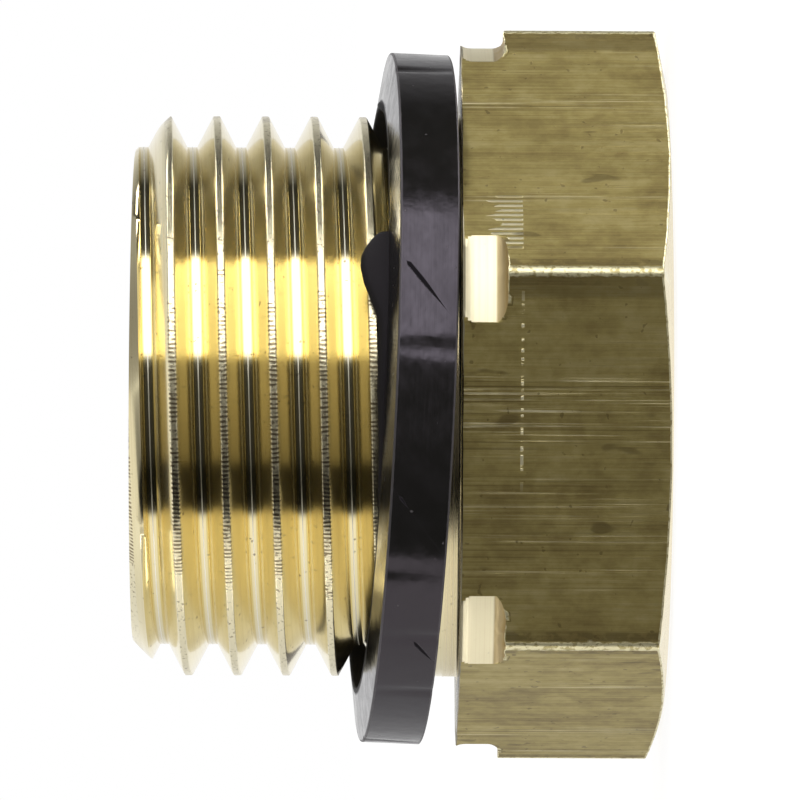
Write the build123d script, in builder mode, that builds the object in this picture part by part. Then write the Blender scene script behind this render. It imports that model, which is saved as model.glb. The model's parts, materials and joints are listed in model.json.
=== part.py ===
"""Threaded reducer: a brass body with a G 1/2 male thread, a hexagon head and a G 1/4 port, and a sealing ring.

Millimetres. Z is the axis of the fitting. The hexagon end lies on z = 0 and the male thread points up, so the
part stands on its hexagon end. Two hexagon corners lie on the X axis and two flats face +Y and -Y.
"""
import os
from math import ceil, cos, pi, radians, sin, tan

from build123d import *

os.makedirs("parts", exist_ok=True)

# Male pipe thread, G 1/2: 14 threads per inch, 55 degree Whitworth form, major diameter inside its tolerance
thread_major_diameter = 20.85
thread_pitch = 1.814
thread_angle = 55.0
thread_depth_ratio = 0.6403
crest_flat_ratio = 0.132
spigot_length = 12.05
lead_chamfer = 1.275
# Height above the shoulder where the groove is at full depth, and the part turn over which it fades out
thread_start = 2.651
run_out_turns = 0.5
cutter_overlap = 0.08

# Hexagon head, a 24 mm spanner size
seat_width_at_flats = 1.575
hex_across_flats = thread_major_diameter + 2 * seat_width_at_flats
hex_length = 7.6
hex_corner_radius = 0.3

# Turned end of the head: a shallow chamfer that just reaches the flats
end_face_inset = 0.15
end_chamfer_angle = 12.0

# Turned collar at the shoulder, where the corners are cut back to the seat of the ring
collar_overhang = 1.0
collar_diameter = hex_across_flats + 2 * collar_overhang
collar_length = 1.6
collar_tool_radius = 0.4

# Female port, G 1/4: core drilling of the tapped hole, countersunk mouth, and the narrower bore behind it
port_core_diameter = 11.445
port_depth = 12.0
mouth_lead = 1.08
drill_point_angle = 118.0
bore_step = 1.2225
bore_edge_chamfer = 0.5

# Sealing ring: dished towards the thread and loose on the neck
ring_inset = 0.125
ring_outer_diameter = collar_diameter - 2 * ring_inset
ring_bore_clearance = 0.425
ring_bore_diameter = thread_major_diameter + 2 * ring_bore_clearance
ring_thickness = 2.15
ring_dish = 0.3
ring_edge_break = 0.1
# The ring hangs askew: lean, side that comes nearest to the shoulder, and the gap left there
ring_tilt = 3.75
ring_tilt_side = -44.0
ring_seat_gap = 0.1

# Lug that reaches from the bore of the ring over the last crest, a leaf with its tip to one side
lug_side = -55.2
lug_clearance = 0.16
lug_thickness = 0.45
lug_root_depth = 0.8
lug_rise = 1.0
lug_tip_reach = 1.6
lug_tip_rise = 0.4
lug_root_reach = 0.6
lug_peak_reach = 0.4
lug_tail_reach = 1.9

# Heights and radii that follow from the sizes above
spigot_radius = thread_major_diameter / 2
spigot_end = hex_length + spigot_length
lead_start = spigot_end - lead_chamfer
end_face_radius = hex_across_flats / 2 - end_face_inset
blank_radius = hex_across_flats * 0.6
end_chamfer_height = (blank_radius - end_face_radius) * tan(radians(end_chamfer_angle))
collar_radius = collar_diameter / 2
collar_start = hex_length - collar_length
port_radius = port_core_diameter / 2
bore_radius = port_radius - bore_step
drill_point = bore_step / tan(radians(drill_point_angle / 2))

# Section of the thread groove: two flanks and a flat root, reaching a little past the metal
flank_slope = tan(radians(thread_angle / 2))
thread_depth = thread_depth_ratio * thread_pitch
root_radius = spigot_radius - thread_depth
groove_half_width = (1 - crest_flat_ratio) * thread_pitch / 2
root_half_width = groove_half_width - thread_depth * flank_slope
cutter_radius = spigot_radius + cutter_overlap
cutter_half_width = groove_half_width + cutter_overlap * flank_slope
groove_start = hex_length + thread_start
thread_turns = ceil((spigot_end + groove_half_width - groove_start) / thread_pitch)
run_out_steps = 14


def run_out_point(step):
    """Place the thread tool on its way out of the metal: on down the helix, drawn outwards faster and faster."""
    part = step / run_out_steps
    radius = spigot_radius + (thread_depth + 3 * cutter_overlap) * part**2
    angle = -2 * pi * run_out_turns * part
    return radius * cos(angle), radius * sin(angle), groove_start - thread_pitch * run_out_turns * part


# Thread tools: one full turn of the groove, and the fade at its lower end
with BuildPart() as turn_tool:
    with BuildLine() as one_turn:
        Helix(pitch=thread_pitch, height=thread_pitch, radius=spigot_radius, center=(0, 0, groove_start))
    with BuildSketch(Plane.XZ) as groove_section:
        with BuildLine():
            Polyline(
                (cutter_radius, groove_start + cutter_half_width),
                (root_radius, groove_start + root_half_width),
                (root_radius, groove_start - root_half_width),
                (cutter_radius, groove_start - cutter_half_width),
                close=True,
            )
        make_face()
    sweep(path=one_turn.line, is_frenet=True)

with BuildPart() as run_out_tool:
    with BuildLine() as run_out:
        Spline(*[run_out_point(step) for step in range(run_out_steps + 1)])
    sweep(sections=groove_section.sketch, path=run_out.line, is_frenet=True)

with BuildPart() as reducer_body:
    # Hexagon bar
    with BuildSketch() as bar:
        RegularPolygon(radius=hex_across_flats / 2, side_count=6, major_radius=False)
        fillet(bar.vertices(), hex_corner_radius)
    extrude(amount=hex_length)

    # What the lathe leaves of the bar: end chamfer and collar
    with BuildSketch(Plane.XZ) as turned_head:
        with BuildLine():
            Polyline(
                (0, 0),
                (end_face_radius, 0),
                (blank_radius, end_chamfer_height),
                (blank_radius, collar_start),
                (collar_radius, collar_start),
                (collar_radius, hex_length),
                (0, hex_length),
                close=True,
            )
        make_face()
        step_corner = turned_head.vertices().sort_by_distance((collar_radius, 0, collar_start))[0]
        fillet(step_corner, collar_tool_radius)
    revolve(axis=Axis.Z, mode=Mode.INTERSECT)

    # Spigot blank with the lead chamfer of the thread
    with BuildSketch(Plane.XZ):
        with BuildLine():
            Polyline(
                (0, hex_length),
                (spigot_radius, hex_length),
                (spigot_radius, lead_start),
                (spigot_radius - lead_chamfer, spigot_end),
                (0, spigot_end),
                close=True,
            )
        make_face()
    revolve(axis=Axis.Z)

    # Male thread, cut turn by turn up to the end, then faded out over the neck
    for turn in range(thread_turns):
        with Locations((0, 0, turn * thread_pitch)):
            add(turn_tool.part, mode=Mode.SUBTRACT)
    add(run_out_tool.part, mode=Mode.SUBTRACT)

    # Port, drill point and flow bore
    with BuildSketch(Plane.XZ):
        with BuildLine():
            Polyline(
                (0, 0),
                (port_radius + mouth_lead, 0),
                (port_radius, mouth_lead),
                (port_radius, port_depth),
                (bore_radius, port_depth + drill_point),
                (bore_radius, spigot_end - bore_edge_chamfer),
                (bore_radius + bore_edge_chamfer, spigot_end),
                (0, spigot_end),
                close=True,
            )
        make_face()
    revolve(axis=Axis.Z, mode=Mode.SUBTRACT)

reducer_body.part.label = "reducer_body"
reducer_body.part.color = Color(0.72, 0.60, 0.30)
export_step(reducer_body.part, "parts/reducer_body.step")

# The lug's plane stands inside the bore of the ring and looks outwards
lug_radius = spigot_radius + lug_clearance
lug_angle = radians(lug_side)
outwards = (cos(lug_angle), sin(lug_angle), 0)
along = (-sin(lug_angle), cos(lug_angle), 0)
lug_plane = Plane(origin=(lug_radius * outwards[0], lug_radius * outwards[1], 0), x_dir=along, z_dir=outwards)
lip_height = ring_thickness + ring_dish
lug_foot = lip_height - lug_root_depth

with BuildPart() as level_ring:
    # Dished section of the ring
    with BuildSketch(Plane.XZ) as ring_section:
        with BuildLine():
            Polyline(
                (ring_bore_diameter / 2, 0),
                (ring_outer_diameter / 2, 0),
                (ring_outer_diameter / 2, ring_thickness),
                (ring_bore_diameter / 2, lip_height),
                close=True,
            )
        make_face()
        chamfer(ring_section.vertices(), ring_edge_break)
    revolve(axis=Axis.Z)

    # Lug, rooted in the bore
    with BuildSketch(lug_plane):
        with BuildLine():
            Polyline(
                (lug_tip_reach, lip_height + lug_tip_rise),
                (lug_root_reach, lip_height),
                (lug_root_reach, lug_foot),
                (-lug_root_reach, lug_foot),
                (-lug_tail_reach, lip_height - ring_edge_break),
            )
            Spline(
                (-lug_tail_reach, lip_height - ring_edge_break),
                (lug_peak_reach, lip_height + lug_rise),
                (lug_tip_reach, lip_height + lug_tip_rise),
                tangents=((1, 0.45), (0.8, -1)),
            )
        make_face()
    extrude(amount=lug_thickness)

# The ring leans about the height of its lug, so that it stays centred on the thread
pivot = lip_height + lug_rise / 2
lean = radians(ring_tilt)
pivot_height = hex_length + ring_seat_gap + ring_outer_diameter / 2 * sin(lean) + pivot * cos(lean)
to_side = Rot(0, 0, ring_tilt_side)
ring_place = Pos(0, 0, pivot_height) * to_side * Rot(0, ring_tilt, 0) * to_side.inverse() * Pos(0, 0, -pivot)
with BuildPart() as sealing_ring:
    add(level_ring.part.moved(ring_place))

sealing_ring.part.label = "sealing_ring"
sealing_ring.part.color = Color(0.05, 0.05, 0.06)
export_step(sealing_ring.part, "parts/sealing_ring.step")
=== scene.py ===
"""Threaded reducer in its studio: a brass body with two threads, and the black sealing ring on its neck.

The builders below work in millimetres about the axis of the fitting, which is Z. The hexagon end stands on
the floor and the male thread points up. Meshes are written in metres.
"""

import json
import logging
import math
from collections.abc import Sequence
from dataclasses import dataclass
from enum import Enum

import bmesh
import bpy
import numpy as np
from mathutils import Matrix, Vector, noise

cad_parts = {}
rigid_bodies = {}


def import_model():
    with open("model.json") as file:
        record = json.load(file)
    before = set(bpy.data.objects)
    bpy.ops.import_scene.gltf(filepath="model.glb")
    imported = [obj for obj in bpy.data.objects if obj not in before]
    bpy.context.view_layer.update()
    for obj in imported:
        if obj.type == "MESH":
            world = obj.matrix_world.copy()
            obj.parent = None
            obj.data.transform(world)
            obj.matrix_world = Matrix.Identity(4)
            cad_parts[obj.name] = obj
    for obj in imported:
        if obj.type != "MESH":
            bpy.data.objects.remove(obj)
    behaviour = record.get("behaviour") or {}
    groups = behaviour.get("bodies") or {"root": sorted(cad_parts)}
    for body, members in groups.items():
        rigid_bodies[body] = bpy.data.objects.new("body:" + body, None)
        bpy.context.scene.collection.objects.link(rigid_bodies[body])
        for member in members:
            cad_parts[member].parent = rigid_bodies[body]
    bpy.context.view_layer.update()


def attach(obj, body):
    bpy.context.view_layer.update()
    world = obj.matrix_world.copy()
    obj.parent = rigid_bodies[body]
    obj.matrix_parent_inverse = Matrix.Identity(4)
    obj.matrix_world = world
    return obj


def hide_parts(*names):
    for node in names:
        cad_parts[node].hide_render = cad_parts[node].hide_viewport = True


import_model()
MM = 0.001
log = logging.getLogger("threaded_reducer")

Socket = bpy.types.NodeSocket
Colour = tuple[float, float, float, float]


class ThreadSide(Enum):
    """Which way the groove of a thread is cut from its crest."""

    MALE = 1.0
    FEMALE = -1.0


class BodyFinish(Enum):
    """The finishes of the brass body, by their place in its list of materials."""

    DRAWN = 0
    TURNED = 1
    THREAD = 2


class Field:
    """What a node gives, with the signs of plain arithmetic where it is a number."""

    def __init__(self, graph: "Graph", socket: Socket) -> None:
        """Hold a node's output and the graph that it is part of."""
        self.graph = graph
        self.socket = socket

    def __add__(self, other: "Value") -> "Field":
        """Give the sum of two numbers."""
        return self.graph.math("ADD", self, other)

    def __sub__(self, other: "Value") -> "Field":
        """Give this number less another."""
        return self.graph.math("SUBTRACT", self, other)

    def __rsub__(self, other: float) -> "Field":
        """Give a plain number less this one."""
        return self.graph.math("SUBTRACT", other, self)

    def __mul__(self, other: "Value") -> "Field":
        """Give the product of two numbers."""
        return self.graph.math("MULTIPLY", self, other)

    def __truediv__(self, other: "Value") -> "Field":
        """Give this number divided by another."""
        return self.graph.math("DIVIDE", self, other)


Value = float | Field


class Graph:
    """A node tree under construction, with short calls for the nodes that recur."""

    def __init__(self, tree: bpy.types.NodeTree) -> None:
        """Hold the tree that the calls add to."""
        self.tree = tree

    def add(self, kind: str, **settings: object) -> bpy.types.Node:
        """Add one node.

        Args:
            kind: Blender's name of the node type.
            settings: Properties of the node and their values.

        Returns:
            The new node.
        """
        node = self.tree.nodes.new(kind)
        for name, value in settings.items():
            setattr(node, name, value)
        return node

    def feed(self, socket: Socket, value: object) -> None:
        """Link a socket to another, or set its value.

        Args:
            socket: The input to feed.
            value: A field, an output socket or a plain value.
        """
        source = value.socket if isinstance(value, Field) else value
        if isinstance(source, bpy.types.NodeSocket):
            self.tree.links.new(source, socket)
        else:
            socket.default_value = source

    def fill(self, node: bpy.types.Node, **values: object) -> Field:
        """Feed a node's inputs by name.

        Args:
            node: The node.
            values: Its inputs by name.

        Returns:
            Its first output.
        """
        for name, value in values.items():
            self.feed(node.inputs[name], value)
        return Field(self, node.outputs[0])

    def run(self, kind: str, *values: object, **settings: object) -> Field:
        """Add a node and feed its inputs in their order.

        Args:
            kind: Blender's name of the node type.
            values: Its inputs.
            settings: Properties of the node and their values.

        Returns:
            Its first output.
        """
        node = self.add(kind, **settings)
        for socket, value in zip(node.inputs, values):
            self.feed(socket, value)
        return Field(self, node.outputs[0])

    def given(self) -> dict[str, Field]:
        """Add the inputs of a group and give them by name."""
        return {socket.name: Field(self, socket) for socket in self.add("NodeGroupInput").outputs}

    def math(self, operation: str, first: Value, second: Value = 0.0, third: Value = 0.0) -> Field:
        """Add a Math node; some operations take a third number, such as the width of a smooth minimum."""
        return self.run("ShaderNodeMath", first, second, third, operation=operation)

    def ease(self, value: Value, low: Value, high: Value, start: Value = 0.0, end: Value = 1.0) -> Field:
        """Add a smooth step between two places, from a starting value to an end value."""
        return self.run("ShaderNodeMapRange", value, low, high, start, end, interpolation_type="SMOOTHSTEP")

    def combine(self, x: Value, y: Value, z: Value) -> Field:
        """Make a vector from three numbers."""
        return self.run("ShaderNodeCombineXYZ", x, y, z)

    def stretch(self, vector: object, sizes: object) -> Field:
        """Multiply a vector, number by number."""
        return self.run("ShaderNodeVectorMath", vector, sizes, operation="MULTIPLY")

    def split(self, vector: object) -> tuple[Field, ...]:
        """Split a vector into its three numbers."""
        node = self.run("ShaderNodeSeparateXYZ", vector).socket.node
        return tuple(Field(self, socket) for socket in node.outputs)

    def radius(self, x: Field, y: Field) -> Field:
        """Measure the distance from the axis."""
        return self.math("SQRT", x * x + y * y)

    def noise(self, vector: Field, scale: Value, detail: float = 3.0, roughness: float = 0.5) -> Field:
        """Add a noise texture, which is about 0.5 on average."""
        node = self.add("ShaderNodeTexNoise")
        return self.fill(node, Vector=vector, Scale=scale, Detail=detail, Roughness=roughness)

    def attribute(self, name: str) -> Field:
        """Read a number that the mesh holds at each point."""
        return Field(self, self.add("ShaderNodeAttribute", attribute_name=name).outputs["Fac"])

    def millimetres(self) -> Field:
        """Read the place on the object, in millimetres."""
        return self.stretch(self.add("ShaderNodeTexCoord").outputs["Object"], (1 / MM, 1 / MM, 1 / MM))

    def group(self, tree: bpy.types.NodeTree, **values: object) -> Field:
        """Place a shared group with its inputs by name."""
        return self.fill(self.add("ShaderNodeGroup", node_tree=tree), **values)

    def blend(self, factor: Value, first: object, second: object, mode: str = "MIX",
              kind: str = "RGBA") -> Field:
        """Mix two colours.

        Args:
            factor: Share of the second.
            first: First colour.
            second: Second colour.
            mode: Blender's name of the blend mode.
            kind: Blender's name of what is mixed.

        Returns:
            The mixed colour.
        """
        node = self.add("ShaderNodeMix", data_type=kind, blend_type=mode)
        self.fill(node, Factor=factor, A=first, B=second)
        return Field(self, node.outputs["Result"])

    def lerp(self, factor: Value, first: Value, second: Value) -> Field:
        """Mix two numbers."""
        return self.blend(factor, first, second, kind="FLOAT")

    def ramp(self, value: Value, stops: Sequence[tuple[float, Colour]]) -> Field:
        """Add a colour ramp.

        Args:
            value: What runs along it.
            stops: Positions and colours, in order.

        Returns:
            The ramp's colour.
        """
        node = self.add("ShaderNodeValToRGB")
        elements = node.color_ramp.elements
        while len(elements) > 1:
            elements.remove(elements[0])
        elements[0].position, elements[0].color = stops[0]
        for position, colour in stops[1:]:
            elements.new(position).color = colour
        return self.fill(node, Fac=value)


def name_inputs(tree: bpy.types.NodeTree, kind: str, names: Sequence[str]) -> None:
    """Give a node group inputs of one kind.

    Args:
        tree: The group.
        kind: Kind of the sockets, such as Float.
        names: Their names.
    """
    for name in names:
        tree.interface.new_socket(name=name, in_out="INPUT", socket_type="NodeSocket" + kind)


def new_group(name: str, vectors: Sequence[str],
              numbers: Sequence[str]) -> tuple[Graph, dict[str, Field], Socket]:
    """Start a shader node group that gives one mask.

    Args:
        name: The group's name.
        vectors: Names of its vector inputs.
        numbers: Names of its number inputs.

    Returns:
        The graph to add to, the group's inputs by name and the socket that takes the mask.
    """
    tree = bpy.data.node_groups.new(name, "ShaderNodeTree")
    name_inputs(tree, "Vector", vectors)
    name_inputs(tree, "Float", numbers)
    tree.interface.new_socket(name="Mask", in_out="OUTPUT", socket_type="NodeSocketFloat")
    graph = Graph(tree)
    return graph, graph.given(), graph.add("NodeGroupOutput").inputs["Mask"]


class ThreadTree:
    """The Geometry Nodes tree that winds a thread groove around a turned blank."""

    SIZES = (
        "Side", "Crest Radius", "Pitch", "Depth", "Root Half Width", "Flank Slope", "Groove Start",
        "First Row", "Run Out Turns", "Run Out Draw", "Low End", "High End", "Lead Radius", "Root Round",
        "Crest Round", "Chatter", "Seed",
    )
    COUNTS = ("Columns", "Turns")
    # Where the rows cross the section, from the middle of the crest to the middle of the root, in pitches
    STATIONS = (
        0.0, 0.035, 0.052, 0.060, 0.066, 0.073, 0.083, 0.150, 0.240, 0.320, 0.385, 0.395, 0.3978, 0.4005,
        0.404, 0.440, 0.5,
    )
    ROWS = 2 * (len(STATIONS) - 1)
    # Places closer together than this are one point, in metres
    WELD = 1.2e-6
    # How finely the chatter varies round the axis and from turn to turn, and above what the crest is whole
    CHATTER_ROUND = 9.0
    CHATTER_TURNS = 3.7
    CHATTER_LIMIT = 0.62

    def __init__(self) -> None:
        """Build the tree once, with an input for each size."""
        self.tree = bpy.data.node_groups.new("wind_thread", "GeometryNodeTree")
        face = self.tree.interface
        face.new_socket(name="Geometry", in_out="OUTPUT", socket_type="NodeSocketGeometry")
        for kind, names in (("Float", self.SIZES), ("Int", self.COUNTS), ("Material", ("Material",))):
            name_inputs(self.tree, kind, names)
        self.identifiers = {item.name: item.identifier for item in face.items_tree if item.in_out == "INPUT"}
        self._lay_nodes()

    def _lay_nodes(self) -> None:
        """Lay the nodes: a flat grid, wrapped along the helix and drawn in to the groove's section."""
        g = Graph(self.tree)
        given = g.given()
        side, pitch, depth = given["Side"], given["Pitch"], given["Depth"]
        low_end, high_end, crest_round = given["Low End"], given["High End"], given["Crest Round"]
        rows = given["Turns"] * self.ROWS + 1.0
        grid = g.run("GeometryNodeMeshGrid", 1.0, 1.0, given["Columns"] + 1.0, rows)
        index = g.run("GeometryNodeInputIndex")
        column = g.math("FLOOR", (index + 0.5) / rows)
        row = index - column * rows
        around = column / given["Columns"]
        turn = g.math("FLOOR", (row + 0.5) / self.ROWS)
        phase = turn + self._place_rows(g, row / self.ROWS - turn)
        height = g.math("MULTIPLY_ADD", phase + around, pitch, given["First Row"])
        height = g.math("MINIMUM", g.math("MAXIMUM", height, low_end), high_end)

        along = (height - given["Groove Start"]) / pitch - around
        groove = g.math("ROUND", along)
        off_centre = g.math("ABSOLUTE", along - groove) * pitch
        wound = groove + around
        gone = g.math("MAXIMUM", wound * -1.0, 0.0) / given["Run Out Turns"]
        drawn = gone * gone * given["Run Out Draw"]
        flank = depth - (off_centre - given["Root Half Width"]) / given["Flank Slope"]
        cut = g.math("SMOOTH_MIN", depth, flank, given["Root Round"])
        cut = g.math("SMOOTH_MAX", cut - drawn, 0.0, crest_round)
        from_end = high_end - height
        lead = g.math("MULTIPLY_ADD", from_end, side, given["Lead Radius"])
        groove_radius = given["Crest Radius"] - cut * side
        radius = g.math("SMOOTH_MIN", groove_radius * side, lead * side, crest_round) * side

        angle = around * (2 * math.pi)
        cosine = g.math("COSINE", angle)
        sine = g.math("SINE", angle)
        spot = g.combine(
            cosine * self.CHATTER_ROUND, sine * self.CHATTER_ROUND, wound * self.CHATTER_TURNS)
        ripple = g.add("ShaderNodeTexNoise", noise_dimensions="4D")
        ripple = g.fill(ripple, Vector=spot, W=given["Seed"], Scale=1.6, Detail=4.0)
        torn = g.math("MINIMUM", (ripple - self.CHATTER_LIMIT) * given["Chatter"], 0.0)
        torn = torn * g.ease(cut, 0.0, 0.12, 1.0, 0.0)
        clear = g.ease(height, low_end + 0.6, low_end + 1.4) * g.ease(from_end, 0.1, 0.5)
        metres = g.math("MULTIPLY_ADD", torn * clear, side, radius) * MM

        crest = g.ease(cut, 0.02, 0.1, 1.0, 0.0) * g.ease(wound, -0.5, 0.0)
        shape = grid
        for name, value in (("worn_edge", crest), ("lay", off_centre)):
            keep = g.add("GeometryNodeStoreNamedAttribute", data_type="FLOAT", domain="POINT")
            shape = g.fill(keep, Geometry=shape, Name=name, Value=value)
        position = g.combine(metres * cosine, metres * sine, height * MM)
        shape = g.fill(g.add("GeometryNodeSetPosition"), Geometry=shape, Position=position)
        shape = g.fill(g.add("GeometryNodeMergeByDistance"), Geometry=shape, Distance=self.WELD)
        shape = g.fill(g.add("GeometryNodeSetShadeSmooth"), Geometry=shape)
        shape = g.fill(g.add("GeometryNodeRealizeInstances"), Geometry=shape)
        shape = g.fill(g.add("GeometryNodeSetMaterial"), Geometry=shape, Material=given["Material"])
        g.feed(g.add("NodeGroupOutput").inputs["Geometry"], shape)

    def _place_rows(self, g: Graph, share: Field) -> Field:
        """Place the rows of one turn at the stations of the section.

        Args:
            g: The tree's graph.
            share: The row's share of its turn.

        Returns:
            Its height in the turn, in pitches.
        """
        node = g.add("ShaderNodeFloatCurve")
        curve = node.mapping.curves[0]
        heights = self.STATIONS + tuple(1 - spot for spot in self.STATIONS[-2:0:-1])
        for number, spot in enumerate(heights[1:], start=1):
            curve.points.new(number / self.ROWS, spot)
        for spot in curve.points:
            spot.handle_type = "VECTOR"
        node.mapping.update()
        return g.fill(node, Value=share)


def add_object(name: str, data: bpy.types.ID) -> bpy.types.Object:
    """Put new data into the scene as an object.

    Args:
        name: Name of the object.
        data: Its mesh or camera.

    Returns:
        The object.
    """
    piece = bpy.data.objects.new(name, data)
    bpy.context.scene.collection.objects.link(piece)
    return piece


def bake(piece: bpy.types.Object, modifier: bpy.types.Modifier) -> None:
    """Make what a modifier does to an object its plain mesh, and take the modifier off.

    Args:
        piece: The object.
        modifier: Its only modifier.
    """
    done = piece.evaluated_get(bpy.context.evaluated_depsgraph_get())
    mesh = bpy.data.meshes.new_from_object(done)
    piece.modifiers.remove(modifier)
    piece.data = mesh


@dataclass
class Thread:
    """One pipe thread, with its lead at the high end and its run-out at the low end."""

    side: ThreadSide
    crest_radius: float
    pitch: float
    depth: float
    crest_flat: float
    groove_start: float
    low_end: float
    high_end: float
    lead_radius: float
    columns: int
    root_round: float = 0.01
    crest_round: float = 0.07
    run_out_turns: float = 0.5
    run_out_draw: float = 1.4
    chatter: float = 0.0
    seed: float = 3.0
    flank_slope: float = math.tan(math.radians(27.5))

    def wind(self, tree: ThreadTree, name: str, material: bpy.types.Material) -> bpy.types.Object:
        """Make the thread as a plain mesh.

        Args:
            tree: The tree that winds it.
            name: Name of the object.
            material: Finish of the thread.

        Returns:
            An object with the thread's surface, open at both ends.
        """
        piece = add_object(name, bpy.data.meshes.new(name))
        modifier = piece.modifiers.new("wind", "NODES")
        modifier.node_group = tree.tree
        half_groove = (self.pitch - self.crest_flat) / 2
        first_crest = self.groove_start + self.pitch / 2
        first_row = first_crest - (math.ceil((first_crest - self.low_end) / self.pitch) + 1) * self.pitch
        worked_out = {
            "Side": self.side.value,
            "Root Half Width": half_groove - self.depth * self.flank_slope,
            "First Row": first_row,
            "Turns": math.ceil((self.high_end - first_row) / self.pitch),
            "Material": material,
        }
        # The tree's other inputs have the names of this class's fields
        for label, identifier in tree.identifiers.items():
            field = label.lower().replace(" ", "_")
            modifier[identifier] = worked_out[label] if label in worked_out else getattr(self, field)
        bake(piece, modifier)
        return piece


def soften(corners: np.ndarray, rounds: Sequence[float | np.ndarray],
           bends: int = 4) -> tuple[np.ndarray, list[int]]:
    """Round the corners of one profile per column.

    Args:
        corners: Profile points, shaped columns by points by two (radius and height).
        rounds: Size of the rounding at each point, one number or one per column; none at the two ends.
        bends: Number of chords in each rounding.

    Returns:
        The rounded profiles, columns by rows by two, and each row's corner number, or -1 between corners.
    """
    rows = [corners[:, 0]]
    marks = [-1]
    for spot in range(1, corners.shape[1] - 1):
        here = corners[:, spot]
        if not np.any(rounds[spot]):
            rows.append(here)
            marks.append(-1)
            continue
        sides = [corners[:, other] - here for other in (spot - 1, spot + 1)]
        reaches = [np.linalg.norm(side, axis=1, keepdims=True) for side in sides]
        size = np.broadcast_to(np.asarray(rounds[spot], float), (len(here),))[:, None]
        size = np.minimum(size, 0.3 * np.minimum(*reaches))
        start, end = (here + side / np.maximum(reach, 1e-9) * size for side, reach in zip(sides, reaches))
        rows.append(start + (start - here) * 0.5)
        for part in np.arange(bends + 1) / bends:
            rows.append((1 - part)**2 * start + 2 * part * (1 - part) * here + part**2 * end)
        rows.append(end + (end - here) * 0.5)
        marks += [-1] + [spot] * (bends + 1) + [-1]
    rows.append(corners[:, -1])
    marks.append(-1)
    return np.stack(rows, axis=1), marks


def grid_mesh(name: str, profile: np.ndarray, angles: np.ndarray, finishes: np.ndarray, worn: np.ndarray,
              materials: Sequence[bpy.types.Material]) -> bpy.types.Object:
    """Make an object from profiles that stand all round the axis.

    Args:
        name: Name of the object.
        profile: Radii and heights in millimetres, columns by rows by two.
        angles: Direction of each column in radians.
        finishes: Material of each cell, columns by rows less one.
        worn: Wear of each point, columns by rows.
        materials: The materials to choose from.

    Returns:
        The object, in metres.
    """
    radii = profile[:, :, 0]
    points = np.stack(
        [radii * np.cos(angles)[:, None], radii * np.sin(angles)[:, None], profile[:, :, 1]], axis=-1)
    index = np.arange(radii.size).reshape(radii.shape)
    beyond = np.roll(index, -1, axis=0)
    quads = np.stack([index[:, :-1], beyond[:, :-1], beyond[:, 1:], index[:, 1:]], axis=-1).reshape(-1, 4)
    mesh = bpy.data.meshes.new(name)
    mesh.from_pydata((points.reshape(-1, 3) * MM).tolist(), [], quads.tolist())
    for material in materials:
        mesh.materials.append(material)
    mesh.polygons.foreach_set("material_index", finishes.reshape(-1).astype(np.int32))
    mesh.polygons.foreach_set("use_smooth", np.ones(len(quads), dtype=bool))
    wear = mesh.attributes.new("worn_edge", "FLOAT", "POINT")
    wear.data.foreach_set("value", worn.reshape(-1).astype(np.float32))
    return add_object(name, mesh)


def join(pieces: Sequence[bpy.types.Object], name: str) -> bpy.types.Object:
    """Join objects into the first of them and rename it.

    Args:
        pieces: The objects.
        name: Name of the result.

    Returns:
        The joined object.
    """
    with bpy.context.temp_override(active_object=pieces[0], object=pieces[0], selected_objects=list(pieces),
                                   selected_editable_objects=list(pieces)):
        bpy.ops.object.join()
    pieces[0].name = name
    pieces[0].data.name = name
    return pieces[0]


def rim(mesh: bmesh.types.BMesh, height: float, radius: float,
        reach: float = 0.1) -> list[bmesh.types.BMVert]:
    """Find the points of a mesh that lie on its open edge on one circle.

    Args:
        mesh: The mesh.
        height: Height of the circle in millimetres.
        radius: Its radius.
        reach: How far a point may be off that radius.

    Returns:
        The points, in order of their angle.
    """
    found = [v for v in mesh.verts if v.is_boundary and abs(v.co.z / MM - height) < 0.02
             and abs(v.co.xy.length / MM - radius) < reach]
    return sorted(found, key=lambda v: math.atan2(v.co.y, v.co.x))


def zip_rings(mesh: bmesh.types.BMesh, first: Sequence[bmesh.types.BMVert],
              second: Sequence[bmesh.types.BMVert], finish: int) -> None:
    """Close the gap between two circles of points, going round both by angle.

    Args:
        mesh: The mesh.
        first: Points of one circle, in order of their angle.
        second: Points of the other.
        finish: Material of the new faces.
    """
    turns = [[math.atan2(v.co.y, v.co.x) for v in ring] for ring in (first, second)]
    done = [0, 0]
    counts = (len(first), len(second))
    while done[0] < counts[0] or done[1] < counts[1]:
        ahead = [turns[k][(done[k] + 1) % counts[k]] + 2 * math.pi * ((done[k] + 1) // counts[k])
                 for k in (0, 1)]
        corners = [first[done[0] % counts[0]], second[done[1] % counts[1]]]
        steps = [done[k] < counts[k] and (done[1 - k] >= counts[1 - k] or ahead[k] <= ahead[1 - k] + 1e-4)
                 for k in (0, 1)]
        if steps[1]:
            corners.append(second[(done[1] + 1) % counts[1]])
        if steps[0]:
            corners.append(first[(done[0] + 1) % counts[0]])
        face = mesh.faces.new(corners)
        face.smooth = True
        face.material_index = finish
        done = [done[k] + int(steps[k]) for k in (0, 1)]


def ragged(angles: np.ndarray, scale: float, level: float) -> np.ndarray:
    """Give each direction round the axis its own unevenness, the same each time.

    Args:
        angles: The directions in radians.
        scale: How finely it varies.
        level: Where the pattern is read.

    Returns:
        Numbers from -1 to 1.
    """
    return np.array([noise.noise(Vector((scale * math.cos(a), scale * math.sin(a), level))) for a in angles])


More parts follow.
